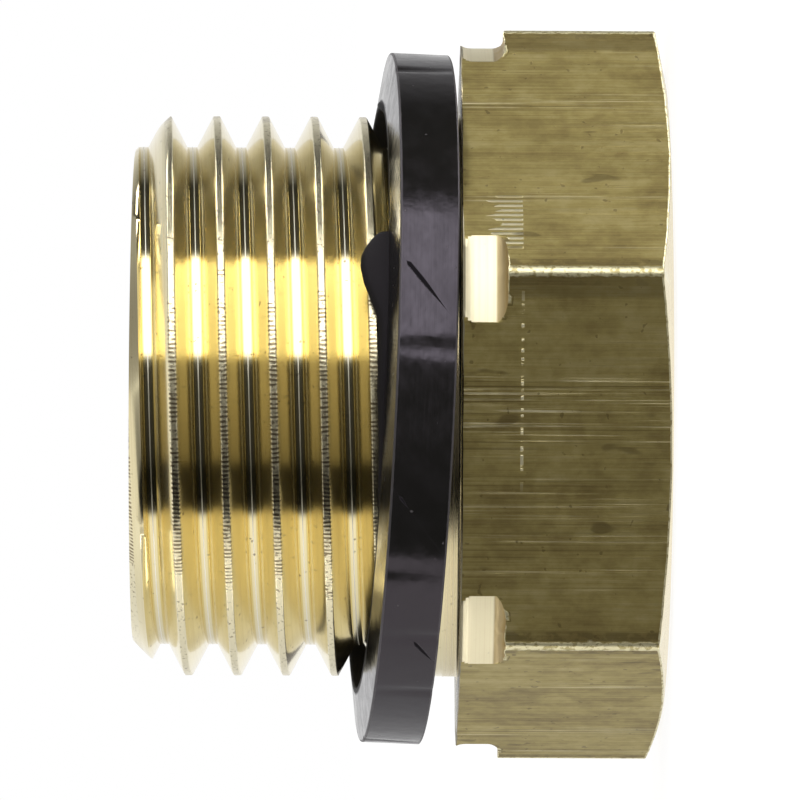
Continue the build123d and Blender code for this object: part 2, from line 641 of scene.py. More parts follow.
@dataclass
class BrassBody:
    """The turned brass body: hexagon head, neck, male thread, port with its thread, and flow bore."""

    across_flats: float = 24.0
    corner_round: float = 0.3
    head_length: float = 7.6
    end_face_radius: float = 11.85
    end_chamfer: float = math.radians(12.0)
    collar_radius: float = 13.0
    collar_start: float = 6.0
    collar_tool: float = 0.4
    seat_lip: float = 0.11
    lip_length: float = 0.42
    notch_ragged: float = 0.08
    edge_ragged: float = 0.035
    neck_radius: float = 10.425
    neck_join: float = 8.0
    neck_gap: float = 0.15
    spigot_end: float = 19.65
    lead_radius: float = 9.15
    spigot_face_radius: float = 8.9
    mouth_face_radius: float = 7.4
    mouth_radius: float = 6.8025
    port_radius: float = 5.7225
    port_thread_depth: float = 11.0
    port_depth: float = 12.0
    bore_radius: float = 4.5
    drill_slope: float = math.tan(math.radians(59.0))
    bore_chamfer: float = 0.5
    face_row: float = 9.6
    wall_row: float = 3.2
    spigot_row: float = 7.2
    bore_row: float = 16.0
    notch_grain: float = 26.0
    edge_grain: float = 70.0
    corner_wear: tuple[tuple[float, float], ...] = (
        (27.4, 0.0), (28.3, 0.14), (28.9, 0.2), (29.2, 0.5), (29.45, 1.0),
    )
    columns_turned: int = 224
    columns_bore: int = 88
    weld: float = 1.5e-6
    sharp_angle: float = math.radians(50)

    @property
    def rounding_start(self) -> float:
        """Give the angle off the middle of a flat where the rounded corner begins, in degrees."""
        flat = self.across_flats / 2
        return math.degrees(math.atan((flat - self.corner_round) * math.tan(math.radians(30)) / flat))

    def head_angles(self) -> np.ndarray:
        """List the columns of the head: close together at the corners and at the ends of the notches."""
        flat = self.across_flats / 2
        notch = math.degrees(math.acos(flat / self.collar_radius))
        deep = math.degrees(math.acos(flat / (self.collar_radius + self.collar_tool)))
        steps = (
            (0.0, (2.0, 5.0, 8.0, 11.0, 14.0, 17.0, 19.5, 21.3)),
            (notch, (-0.25, -0.06, 0.0, 0.07, 0.3, 0.8, 1.5, 2.4)),
            (deep, (-0.5, 0.0, 0.7, 1.6)),
            (self.rounding_start, (-0.7, -0.45, -0.25, 0.0, 0.12, 0.25, 0.38, 0.5)),
        )
        half = [place + step for place, group in steps for step in group]
        local = np.array(sorted([-angle for angle in half] + half + [30.0]))
        return np.radians(np.concatenate([local + 60 * side + 30 for side in range(6)]))

    def hexagon_radius(self, angles: np.ndarray) -> np.ndarray:
        """Measure the hexagon with its rounded corners.

        Args:
            angles: Directions from the axis in radians.

        Returns:
            Distance from the axis to the outline.
        """
        flat = self.across_flats / 2
        off = np.abs((np.degrees(angles) % 60) - 30)
        corner = np.radians(30 - off)
        centre = (flat - self.corner_round) / math.cos(math.radians(30))
        straight = flat / np.cos(np.radians(off))
        inside = np.maximum(self.corner_round**2 - (centre * np.sin(corner))**2, 0)
        return np.where(off > self.rounding_start, centre * np.cos(corner) + np.sqrt(inside), straight)

    def build_head(self, materials: Sequence[bpy.types.Material]) -> bpy.types.Object:
        """Build the head from the end face round to the neck.

        Args:
            materials: Finishes of the body.

        Returns:
            The head, open at the mouth and at the neck.
        """
        angles = self.head_angles()
        hexagon = self.hexagon_radius(angles)
        over = np.maximum(hexagon - self.collar_radius, 0)
        tool = self.collar_tool
        in_arc = np.minimum(over, tool)
        torn = self.notch_ragged * ragged(angles, self.notch_grain, 0.0)
        start = self.collar_start + torn * np.clip(over / 0.1, 0, 1)
        step = start + tool - np.sqrt(np.maximum(tool**2 - (tool - in_arc)**2, 0))
        burr = ragged(angles, self.edge_grain, 4.0)
        chamfer = (hexagon - self.end_face_radius) * math.tan(self.end_chamfer)
        chamfer = chamfer + self.edge_ragged * (0.4 + 0.6 * burr)

        # Radius, height and rounding of each corner of the section, from the mouth outwards and up
        section: list[tuple[float | np.ndarray, ...]] = [
            (self.mouth_face_radius, 0.0, 0.0), (self.face_row, 0.0, 0.0), (self.end_face_radius, 0.0, 0.05),
            (hexagon, chamfer, 0.06), (hexagon, chamfer + 0.3, 0.0), (hexagon, self.wall_row, 0.0),
            (hexagon, step - 0.2, 0.0), (hexagon, step, np.minimum(0.03, over * 0.2)),
        ]
        chamfer_edge, notch_edge = 3, 7
        for part in range(6):
            reach = np.arccos(np.clip((tool - in_arc) / tool, -1, 1)) * (1 - part / 5)
            radius = np.where(over > 0, self.collar_radius + tool * (1 - np.cos(reach)), hexagon)
            height = np.where(over > 0, start + tool - tool * np.sin(reach), self.collar_start + tool)
            section.append((radius, height, 0.0))
        for rise in (0.0, 0.3, 0.6):
            lip = np.minimum(hexagon, self.collar_radius + self.seat_lip * rise**2)
            section.append((lip, self.head_length - self.lip_length * (1 - rise), 0.0))
        lip = np.minimum(hexagon, self.collar_radius + self.seat_lip)
        seat_edge = self.edge_ragged * (1 + np.roll(burr, 7))
        section += [(lip, self.head_length - seat_edge, 0.0), (lip - 0.5 * seat_edge, self.head_length, 0.0),
                    (self.neck_radius, self.head_length, 0.12), (self.neck_radius, self.neck_join, 0.0)]
        corners = [[np.broadcast_to(size, len(angles)) for size in spot[:2]] for spot in section]
        profile, marks = soften(np.array(corners).transpose(2, 0, 1), [spot[2] for spot in section])

        worn = np.zeros(profile.shape[:2])
        worn[:, np.array(marks) == chamfer_edge] = 1.0
        worn[:, np.array(marks) == notch_edge] = np.clip(over / 0.2, 0, 1)[:, None]
        corner = np.interp(np.abs((np.degrees(angles) % 60) - 30), *zip(*self.corner_wear))
        wall = (profile[:, :, 1] > 0.02) & (profile[:, :, 0] > self.collar_radius + tool)
        worn = np.maximum(worn, corner[:, None] * wall)
        return grid_mesh("head", profile, angles, self._head_finishes(profile, hexagon), worn, materials)

    def _head_finishes(self, profile: np.ndarray, hexagon: np.ndarray) -> np.ndarray:
        """Choose the finish of each cell of the head: drawn on the flats, turned where the lathe has cut.

        Args:
            profile: Rounded profiles, columns by rows by two.
            hexagon: Radius of the hexagon in each column.

        Returns:
            Material numbers, columns by rows less one.
        """
        middle = (profile[:, :-1] + profile[:, 1:]) / 2
        middle = (middle + np.roll(middle, -1, axis=0)) / 2
        bar = (hexagon + np.roll(hexagon, -1)) / 2
        on_bar = np.abs(middle[:, :, 0] - bar[:, None]) < 0.012
        edge_height = (bar - self.end_face_radius) * math.tan(self.end_chamfer)
        on_bar &= middle[:, :, 1] > edge_height[:, None]
        on_bar &= middle[:, :, 1] < self.head_length - 0.03
        return np.where(on_bar, BodyFinish.DRAWN.value, BodyFinish.TURNED.value)

    def build_bores(self, materials: Sequence[bpy.types.Material]) -> bpy.types.Object:
        """Build the male end face, the flow bore and the plain end of the port.

        Args:
            materials: Finishes of the body.

        Returns:
            The surface, open at the lead of the male thread and at the port's thread.
        """
        drill_point = (self.port_radius - self.bore_radius) / self.drill_slope
        bore = self.bore_radius
        # Radius, height and rounding of each corner of the section, from the lead inwards and down
        section = np.array([
            (self.spigot_face_radius, self.spigot_end, 0.0), (self.spigot_row, self.spigot_end, 0.0),
            (bore + self.bore_chamfer, self.spigot_end, 0.05),
            (bore, self.spigot_end - self.bore_chamfer, 0.05), (bore, self.bore_row, 0.0),
            (bore, self.port_depth + drill_point, 0.05),
            (self.port_radius, self.port_depth, 0.08), (self.port_radius, self.port_thread_depth, 0.0),
        ])
        count = self.columns_bore
        profile, marks = soften(np.broadcast_to(section[:, :2], (count, len(section), 2)), section[:, 2], 3)
        bore_edge = 2
        worn = np.tile(np.array(marks) == bore_edge, (count, 1))
        finishes = np.full((count, profile.shape[1] - 1), BodyFinish.TURNED.value)
        return grid_mesh("bores", profile, np.arange(count) / count * 2 * math.pi, finishes, worn, materials)

    def build(self, materials: Sequence[bpy.types.Material]) -> bpy.types.Object:
        """Build the whole body as one closed mesh.

        Args:
            materials: Finishes, in the order of BodyFinish.

        Returns:
            The body.
        """
        tree = ThreadTree()
        cut = materials[BodyFinish.THREAD.value]
        male = Thread(
            ThreadSide.MALE, self.neck_radius, pitch=1.814, depth=1.1615, crest_flat=0.2394,
            groove_start=10.251, low_end=self.neck_join + self.neck_gap, high_end=self.spigot_end,
            lead_radius=self.lead_radius, columns=self.columns_turned, chatter=0.06,
        ).wind(tree, "male_thread", cut)
        female = Thread(
            ThreadSide.FEMALE, self.port_radius, pitch=1.337, depth=0.856, crest_flat=0.1765,
            groove_start=1.9, low_end=0.0, high_end=self.port_thread_depth, lead_radius=self.mouth_radius,
            columns=self.columns_bore, run_out_turns=0.8, run_out_draw=1.1,
        ).wind(tree, "port_thread", cut)
        lift = Matrix.Translation((0, 0, self.port_thread_depth * MM))
        female.data.transform(lift @ Matrix.Rotation(math.pi, 4, "X"))
        parts = [self.build_head(materials), male, self.build_bores(materials), female]
        for part in parts:
            log.info("%s: %d faces", part.name, len(part.data.polygons))
        body = join(parts, "brass_body")
        self._close(body)
        return body

    def _close(self, body: bpy.types.Object) -> None:
        """Weld the parts of the body, bridge the rings between them and turn the faces outwards.

        Args:
            body: The joined parts.
        """
        mesh = bmesh.new()
        mesh.from_mesh(body.data)
        bmesh.ops.remove_doubles(mesh, verts=mesh.verts, dist=self.weld)
        bmesh.ops.dissolve_degenerate(mesh, edges=mesh.edges, dist=1e-7)
        # Height and radius of the open rings that are bridged, two by two
        rings = (
            ((self.neck_join, self.neck_radius), (self.neck_join + self.neck_gap, self.neck_radius)),
            ((self.spigot_end, self.lead_radius), (self.spigot_end, self.spigot_face_radius)),
            ((0.0, self.mouth_radius), (0.0, self.mouth_face_radius)),
        )
        found = [(rim(mesh, *first), rim(mesh, *second)) for first, second in rings]
        for first, second in found:
            zip_rings(mesh, first, second, BodyFinish.TURNED.value)
        bmesh.ops.recalc_face_normals(mesh, faces=mesh.faces)
        log.info("brass_body: %d open edges", sum(1 for edge in mesh.edges if not edge.is_manifold))
        mesh.edges.index_update()
        cuts = {edge.index for edge in mesh.edges
                if len(edge.link_faces) == 2 and edge.calc_face_angle(0.0) > 0.1
                and len({face.material_index for face in edge.link_faces}) == 2}
        mesh.to_mesh(body.data)
        mesh.free()
        body.data.set_sharp_from_angle(angle=self.sharp_angle)
        for index in cuts:
            body.data.edges[index].use_edge_sharp = True


@dataclass(frozen=True)
class Nick:
    """A dent in an edge of the ring: where it is, how deep and how long."""

    side: float
    height: float
    depth: float
    length: float


@dataclass(frozen=True)
class Leaf:
    """A thin leaf of plastic on the lip of the ring: heights above the lip at angles round it."""

    outline: tuple[tuple[float, float], ...]
    inner: float
    outer: float
    root: float

    def section(self, angle: float, lip: float) -> list[tuple[float, float]]:
        """Give the leaf's section at one angle.

        Args:
            angle: Direction from the axis, in degrees.
            lip: Height of the lip.

        Returns:
            Radius and height of the corners, from the foot inside round to the foot outside.
        """
        rise = float(np.interp(angle, *zip(*self.outline)))
        top = lip + rise
        foot = lip - self.root
        half = (self.outer - self.inner) / 2
        thin = min(half, 0.5 * max(rise + self.root, 0.02))
        shoulder = 0.35 * half
        return [(self.inner, foot), (self.inner, top - thin), (self.inner + shoulder, top - 0.3 * thin),
                (self.inner + half, top), (self.outer - shoulder, top - 0.3 * thin),
                (self.outer, top - thin), (self.outer, foot)]


@dataclass
class SealRing:
    """The loose sealing ring: a dished washer with one lug that keeps it on the thread."""

    outer_radius: float = 12.875
    bore_radius: float = 10.85
    thickness: float = 2.15
    dish: float = 0.3
    edge_round: float = 0.06
    lip_round: float = 0.1
    lip_width: float = 0.5
    lip_drop: float = 0.08
    lean: float = math.radians(3.75)
    lean_side: float = math.radians(-44.0)
    pivot: float = 2.95
    pivot_height: float = 11.4857
    columns: int = 480
    wave: float = 0.02
    nick_height: float = 0.35
    weld: float = 1.5e-6
    sharp_angle: float = math.radians(45)
    lug: Leaf = Leaf((
        (-100.0, 0.02), (-88.0, 0.12), (-78.0, 0.26), (-66.5, 0.29), (-63.6, 0.36), (-60.4, 0.6),
        (-57.0, 0.86), (-53.6, 1.0), (-51.4, 0.98), (-49.2, 0.82), (-47.2, 0.58), (-46.0, 0.36),
        (-45.6, -0.2),
    ), 10.6, 11.02, 0.8)
    flash: Leaf = Leaf((
        (-5.0, -0.1), (-1.0, 0.05), (3.0, 0.14), (7.0, 0.13), (11.0, 0.04), (14.0, -0.1),
    ), 10.75, 11.05, 0.5)
    nicks: tuple[Nick, ...] = (
        Nick(-121.5, 0.15, 0.14, 0.5), Nick(-124.5, 0.5, 0.05, 0.4), Nick(-135.2, 0.0, 0.10, 0.35),
        Nick(-29.0, 2.1, 0.08, 0.6), Nick(-9.0, 2.15, 0.12, 0.4), Nick(-108.0, 2.15, 0.06, 0.7),
        Nick(-71.0, 0.0, 0.06, 0.5), Nick(35.0, 2.1, 0.09, 0.6), Nick(82.0, 0.05, 0.10, 0.5),
        Nick(140.0, 2.15, 0.08, 0.5), Nick(178.0, 0.1, 0.07, 0.6), Nick(-160.0, 2.1, 0.09, 0.4),
    )

    @property
    def lip(self) -> float:
        """Give the height of the lip round the bore."""
        return self.thickness + self.dish

    def placement(self) -> Matrix:
        """Give the transform from the level ring to the leaning one, in millimetres."""
        turn = Matrix.Rotation(self.lean_side, 4, "Z")
        return (Matrix.Translation((0, 0, self.pivot_height)) @ turn @ Matrix.Rotation(self.lean, 4, "Y")
                @ turn.inverted() @ Matrix.Translation((0, 0, -self.pivot)))

    def build_washer(self, materials: Sequence[bpy.types.Material]) -> bpy.types.Object:
        """Build the dished washer, slightly wavy and with its nicks.

        Args:
            materials: The ring's finish.

        Returns:
            The washer, level, with its seat at height zero.
        """
        middle = (self.outer_radius + self.bore_radius) / 2
        # Radius, height and rounding of each corner of the section, from the seat outwards
        section = np.array([
            (middle, 0.0, 0.0), (self.outer_radius, 0.0, self.edge_round),
            (self.outer_radius, self.thickness, self.edge_round),
            (self.bore_radius + self.lip_width, self.lip - self.lip_drop, self.lip_round),
            (self.bore_radius, self.lip, self.lip_round), (self.bore_radius, 0.0, self.edge_round),
            (middle, 0.0, 0.0),
        ])
        outer_edges = (1, 2)
        count = self.columns
        profile, marks = soften(np.broadcast_to(section[:, :2], (count, len(section), 2)), section[:, 2])
        angles = np.arange(count) / count * 2 * math.pi
        profile[:, :, 0] = self._dent(angles, profile[:, :, 0], profile[:, :, 1])
        worn = np.tile(np.isin(marks, outer_edges), (count, 1))
        finishes = np.zeros((count, profile.shape[1] - 1))
        washer = grid_mesh("washer", profile, angles, finishes, worn, materials)
        mesh = bmesh.new()
        mesh.from_mesh(washer.data)
        bmesh.ops.remove_doubles(mesh, verts=mesh.verts, dist=self.weld)
        bmesh.ops.recalc_face_normals(mesh, faces=mesh.faces)
        mesh.to_mesh(washer.data)
        mesh.free()
        return washer

    def _dent(self, angles: np.ndarray, radii: np.ndarray, heights: np.ndarray) -> np.ndarray:
        """Draw the outer wall in by the waves and nicks.

        Args:
            angles: Direction of each column in radians.
            radii: Radius of each point, columns by rows.
            heights: Height of each point.

        Returns:
            The new radii.
        """
        outside = np.clip((radii - self.outer_radius + 0.5) / 0.4, 0, 1)
        swell = np.array([[noise.noise(Vector((6 * math.cos(a), 6 * math.sin(a), 1.7 * h))) for h in row]
                          for a, row in zip(angles, heights)])
        radii = radii - self.wave * (0.5 + 0.5 * swell) * outside
        for nick in self.nicks:
            away = np.angle(np.exp(1j * (angles - math.radians(nick.side)))) * self.outer_radius
            near = (away[:, None] / nick.length * 2)**2 + ((heights - nick.height) / self.nick_height)**2
            radii = radii - nick.depth * np.exp(-near) * outside
        return radii

    def build_leaf(self, leaf: Leaf, materials: Sequence[bpy.types.Material]) -> bpy.types.Object:
        """Build a leaf that follows the bore of the ring.

        Args:
            leaf: Its outline.
            materials: The ring's finish.

        Returns:
            The leaf, closed, on the level ring.
        """
        first, last = leaf.outline[0][0], leaf.outline[-1][0]
        mesh = bmesh.new()
        rows = []
        for angle in np.linspace(first, last, max(12, int(abs(last - first) * 1.6))):
            turn = math.radians(float(angle))
            rows.append([mesh.verts.new((r * MM * math.cos(turn), r * MM * math.sin(turn), h * MM))
                         for r, h in leaf.section(float(angle), self.lip)])
        for here, beyond in zip(rows, rows[1:]):
            for k in range(len(here)):
                after = (k + 1) % len(here)
                mesh.faces.new((here[k], beyond[k], beyond[after], here[after]))
        mesh.faces.new(rows[0])
        mesh.faces.new(rows[-1][::-1])
        bmesh.ops.recalc_face_normals(mesh, faces=mesh.faces)
        for face in mesh.faces:
            face.smooth = True
        piece = add_object("leaf", bpy.data.meshes.new("leaf"))
        mesh.to_mesh(piece.data)
        mesh.free()
        piece.data.materials.append(materials[0])
        return piece

    def build(self, materials: Sequence[bpy.types.Material]) -> bpy.types.Object:
        """Build the ring as one closed mesh, in its place.

        Args:
            materials: The ring's finish.

        Returns:
            The ring.
        """
        washer = self.build_washer(materials)
        for leaf in (self.lug, self.flash):
            added = self.build_leaf(leaf, materials)
            union = washer.modifiers.new("leaf", "BOOLEAN")
            union.operation = "UNION"
            union.solver = "EXACT"
            union.object = added
            bake(washer, union)
            bpy.data.objects.remove(added)
        scale = Matrix.Scale(MM, 4)
        washer.data.transform(scale @ self.placement() @ scale.inverted())
        washer.name = "seal_ring"
        washer.data.name = "seal_ring"
        washer.data.set_sharp_from_angle(angle=self.sharp_angle)
        return washer


class Patterns:
    """The shader node groups that the finishes share."""

    def __init__(self) -> None:
        """Build each group once."""
        self.grain = self._build_grain()
        self.wear = self._build_wear()
        self.specks = self._build_specks()
        self.stains = self._build_stains()

    def _build_grain(self) -> bpy.types.NodeTree:
        """Build fine lines that run along one direction of a stretched pattern."""
        g, given, mask = new_group("tool_grain", ("Point", "Stretch"), ("Contrast",))
        value = g.noise(g.stretch(given["Point"], given["Stretch"]), 1.0, 4.0, 0.6)
        value = (value - 0.5) * given["Contrast"] + 0.5
        g.feed(mask, g.math("MINIMUM", g.math("MAXIMUM", value, 0.0), 1.0))
        return g.tree

    def _build_wear(self) -> bpy.types.NodeTree:
        """Build the ragged mask of a worn edge."""
        g, given, mask = new_group("edge_wear", ("Point",), ("Edge", "Scale", "Ragged"))
        edge = (g.noise(given["Point"], given["Scale"], 4.0) - 0.5) * given["Ragged"] + given["Edge"]
        g.feed(mask, g.ease(edge, 0.35, 0.75) * g.ease(given["Edge"], 0.02, 0.2))
        return g.tree

    def _build_specks(self) -> bpy.types.NodeTree:
        """Build scattered specks or pits."""
        g, given, mask = new_group("specks", ("Point",), ("Scale", "Threshold"))
        spots = g.noise(given["Point"], given["Scale"], 1.5)
        g.feed(mask, g.ease(spots, given["Threshold"], given["Threshold"] + 0.05))
        return g.tree

    def _build_stains(self) -> bpy.types.NodeTree:
        """Build large soft blotches."""
        g, given, mask = new_group("stains", ("Point", "Stretch"), ())
        cloud = g.noise(g.stretch(given["Point"], given["Stretch"]), 1.0, 5.0, 0.62)
        g.feed(mask, g.ease(cloud, 0.36, 0.64))
        return g.tree


def start_material(name: str) -> tuple[bpy.types.Material, Graph, bpy.types.Node]:
    """Start a material.

    Args:
        name: Its name.

    Returns:
        The material, its graph and its Principled shader.
    """
    material = bpy.data.materials.new(name)
    material.use_nodes = True
    return material, Graph(material.node_tree), material.node_tree.nodes["Principled BSDF"]


def emboss(g: Graph, shader: bpy.types.Node, height: Field, strength: float, depth: float) -> None:
    """Give a shader the relief of a pattern.

    Args:
        g: The material's graph.
        shader: The Principled shader.
        height: The pattern, from 0 to 1.
        strength: Share of the relief that shows.
        depth: Depth of the pattern in millimetres.
    """
    bump = g.add("ShaderNodeBump")
    bump.inputs["Strength"].default_value = strength
    bump.inputs["Distance"].default_value = depth * MM
    g.feed(bump.inputs["Height"], height)
    g.feed(shader.inputs["Normal"], bump.outputs["Normal"])


@dataclass(frozen=True)
class Strip:
    """A strip along one flat of the bar: number of the flat, middle of the strip and half its width."""

    flat: float
    middle: float
    half: float


@dataclass(frozen=True)
class DrawnBrass:
    """The flats of the bar: dull olive tarnish, drawn along the bar, with bright metal at worn corners."""

    dark: Colour = (0.135, 0.098, 0.042, 1)
    brown: Colour = (0.330, 0.258, 0.098, 1)
    olive: Colour = (0.465, 0.380, 0.145, 1)
    pale: Colour = (0.620, 0.530, 0.260, 1)
    scratch: Colour = (0.960, 0.890, 0.620, 1)
    metal: Colour = (0.930, 0.860, 0.560, 1)
    dull: float = 0.50
    bright: float = 0.42
    rubbed: Strip = Strip(-2.0, 1.6, 1.9)
    grazed: Strip = Strip(-2.0, -2.5, 2.6)
    touched: Strip = Strip(-2.0, 2.6, 4.0)
    hatched: Strip = Strip(-1.0, -4.25, 1.7)
    # Strips along two flats that are darkened by painted shade, not by any mark on the metal
    shaded: tuple[Strip, ...] = (Strip(-2.0, 6.4, 0.6), Strip(-1.0, 6.4, 0.85))
    touch_height: float = 5.46
    teeth: float = 24.0

    def make(self, patterns: Patterns) -> bpy.types.Material:
        """Make the material.

        Args:
            patterns: The shared groups.

        Returns:
            The material.
        """
        material, g, shader = start_material("drawn_brass")
        point = g.millimetres()
        broad = g.group(patterns.grain, Point=point, Stretch=(1.5, 1.5, 0.08), Contrast=1.5)
        fine = g.group(patterns.grain, Point=point, Stretch=(9.0, 9.0, 0.16), Contrast=1.5)
        hair = g.group(patterns.grain, Point=point, Stretch=(30.0, 30.0, 0.30), Contrast=1.9)
        patch = g.group(patterns.stains, Point=point, Stretch=(0.50, 0.50, 0.40))
        small = g.group(patterns.stains, Point=point, Stretch=(2.2, 2.2, 1.7))
        tone = fine * 0.32 + broad * 0.30 + patch * 0.16 + small * 0.10
        colour = g.ramp(tone, ((0.06, self.dark), (0.29, self.brown), (0.47, self.olive), (0.72, self.pale)))
        lines = g.ease(hair, 0.32, 0.12) * g.ease(small, 0.15, 0.7)
        colour = g.blend(lines * 0.5, colour, self.dark)
        rubs, furrows_and_shade, touches = self._draw_marks(g, point, patterns)
        edge = g.attribute("worn_edge")
        # Painted shadow: a dark line just beside the worn corners, added to the furrows
        shadow = g.ease(edge, 0.03, 0.1) * g.ease(edge, 0.4, 0.22)
        furrows_and_shade = g.math("MAXIMUM", furrows_and_shade, shadow * g.ease(small, -0.2, 0.8))
        # Darkened by the furrows and also by painted shade and painted shadow
        colour = g.blend(furrows_and_shade * 0.6, colour, self.dark)
        colour = g.blend(g.math("MAXIMUM", rubs * 0.75, touches), colour, self.scratch)
        pits = g.group(patterns.specks, Point=point, Scale=3.1, Threshold=0.69)
        drawn_out = g.stretch(point, (1.0, 1.0, 0.35))
        smudge = g.group(patterns.specks, Point=drawn_out, Scale=1.3, Threshold=0.68)
        colour = g.blend(g.math("MAXIMUM", pits, smudge) * 0.5, colour, self.dark)
        worn = g.group(patterns.wear, Edge=edge, Point=point, Scale=3.4, Ragged=1.1)
        rubbed = g.blend(g.ease(g.noise(point, 5.0), 0.50, 0.62, 0.0, 0.75), self.metal, self.olive)
        g.feed(shader.inputs["Base Color"], g.blend(worn, colour, rubbed))
        rough = g.lerp(fine, self.dull + 0.05, self.dull - 0.09)
        g.feed(shader.inputs["Roughness"], g.lerp(g.math("MAXIMUM", worn, touches), rough, self.bright))
        shader.inputs["Metallic"].default_value = 1.0
        relief = fine * 0.5 + hair * 0.25 - g.math("MAXIMUM", pits, rubs) * 0.5
        relief = relief + touches * 3.5 + worn * g.noise(point, 4.5) * 2.2
        emboss(g, shader, relief, 0.6, 0.014)
        return material

    def _draw_marks(self, g: Graph, point: Field, patterns: Patterns) -> tuple[Field, Field, Field]:
        """Draw the marks on the flats: long rubs along the bar, the collar tool's touches, and strips of
        painted shade.

        Args:
            g: The material's graph.
            point: Place in millimetres.
            patterns: The shared groups.

        Returns:
            The masks of the rubs, of the dark furrows beside them together with the strips of painted shade,
            and of the tool's touches.
        """
        x, y, z = g.split(point)
        turn = g.math("ARCTAN2", y, x) - math.pi / 6
        flat = g.math("ROUND", turn / (math.pi / 3))
        across = g.radius(x, y) * g.math("SINE", turn - flat * (math.pi / 3))

        def zone(strip: Strip) -> Field:
            """Mask a strip of one flat."""
            away = g.math("ABSOLUTE", across - strip.middle)
            return g.math("COMPARE", flat, strip.flat, 0.1) * g.ease(away, strip.half, 0.6 * strip.half)

        long_lines = g.group(patterns.grain, Point=point, Stretch=(9.5, 9.5, 0.055), Contrast=1.7)
        broken = g.group(patterns.stains, Point=point, Stretch=(3.0, 3.0, 0.25))
        stray = g.ease(g.noise(g.stretch(point, (0.8, 0.8, 0.05)), 1.0, 1.0), 0.58, 0.68)
        here = g.math("MAXIMUM", zone(self.rubbed), stray)
        here = g.math("MAXIMUM", here, zone(self.grazed) * 0.6)
        rubs = g.ease(long_lines, 0.58, 0.72) * here * broken
        furrows_and_shade = g.ease(long_lines, 0.40, 0.26) * here
        # Painted shade: these strips darken their flats together with the furrows
        for strip in self.shaded:
            furrows_and_shade = g.math("MAXIMUM", furrows_and_shade, zone(strip) * 0.7)
        dots = g.ease(g.noise(g.stretch(point, (5.0, 5.0, 0.6)), 1.0, 2.0), 0.50, 0.60)
        ring = g.ease(g.math("ABSOLUTE", z - self.touch_height), 0.07, 0.03) * dots * zone(self.touched)
        teeth = g.ease(g.math("SINE", across * self.teeth), -0.1, 0.4)
        reach = g.noise(g.combine(across, 0.0, 0.0), 2.4, 1.0) * 2.6 + (self.touch_height - 0.35)
        hatch = g.ease(z, self.touch_height - 0.04, self.touch_height) * g.ease(z - reach, 0.03, -0.03)
        return rubs, furrows_and_shade, g.math("MAXIMUM", ring, hatch * teeth * zone(self.hatched))


@dataclass(frozen=True)
class TurnedBrass:
    """Bright brass off the lathe, with fine lines round the axis."""

    metal: Colour = (0.930, 0.820, 0.530, 1)
    tarnish: Colour = (0.760, 0.600, 0.320, 1)
    pit: Colour = (0.30, 0.22, 0.10, 1)
    # Paler, near-white colour of the collar: painted highlight
    collar: Colour = (1.0, 0.94, 0.70, 1)
    edge: Colour = (0.960, 0.890, 0.640, 1)
    # Darker colour of the concave fillet at the foot of the collar: painted shade
    fillet: Colour = (0.420, 0.310, 0.140, 1)
    # Near-black painted shade for the seat face, in the gap under the ring
    grime: Colour = (0.060, 0.045, 0.022, 1)
    collar_radius: float = 12.4
    collar_height: float = 5.6
    fillet_top: float = 6.45
    seat_radius: float = 10.6
    seat_height: float = 7.6
    roughness: float = 0.24
    collar_rough: float = 0.45

    def make(self, patterns: Patterns) -> bpy.types.Material:
        """Make the material.

        Args:
            patterns: The shared groups.

        Returns:
            The material.
        """
        material, g, shader = start_material("turned_brass")
        point = g.millimetres()
        x, y, z = g.split(point)
        radius = g.radius(x, y)
        lathe = g.combine(radius, z, y * 1.3 + x)
        lines = g.group(patterns.grain, Point=lathe, Stretch=(16.0, 16.0, 0.05), Contrast=1.8)
        cloud = g.group(patterns.stains, Point=point, Stretch=(0.6, 0.6, 0.6))
        colour = g.blend((cloud * 0.5 + 0.5) * g.ease(lines, 0.45, 0.8), self.metal, self.tarnish)
        pits = g.group(patterns.specks, Point=point, Scale=4.5, Threshold=0.72)
        colour = g.blend(pits * 0.5, colour, self.pit)
        # Painted highlight: the collar is painted paler, near white
        collar = g.ease(radius, self.collar_radius, self.collar_radius + 0.2)
        collar = collar * g.ease(z, self.collar_height, self.collar_height + 0.2)
        colour = g.blend(collar * 0.6, colour, self.collar)
        # Painted shade: the concave fillet at the foot of the collar is darkened
        fillet = collar * g.ease(z, self.fillet_top, self.fillet_top - 0.1)
        colour = g.blend(fillet * 0.85, colour, self.fillet)
        # Painted shade: the seat face in the narrow gap under the ring is darkened to near black
        seat = g.ease(z, self.seat_height - 0.1, self.seat_height - 0.06)
        seat = seat * g.ease(z, self.seat_height + 0.06, self.seat_height + 0.02)
        seat = seat * g.ease(radius, self.seat_radius, self.seat_radius + 0.2)
        colour = g.blend(seat * 0.7, colour, self.grime)
        worn = g.group(patterns.wear, Edge=g.attribute("worn_edge"), Point=point, Scale=4.0, Ragged=0.7)
        g.feed(shader.inputs["Base Color"], g.blend(worn * 0.7, colour, self.edge))
        rough = g.lerp(lines, self.roughness + 0.08, self.roughness - 0.06)
        g.feed(shader.inputs["Roughness"], g.lerp(collar, rough, self.collar_rough))
        shader.inputs["Metallic"].default_value = 1.0
        emboss(g, shader, lines, 0.5, 0.006)
        return material


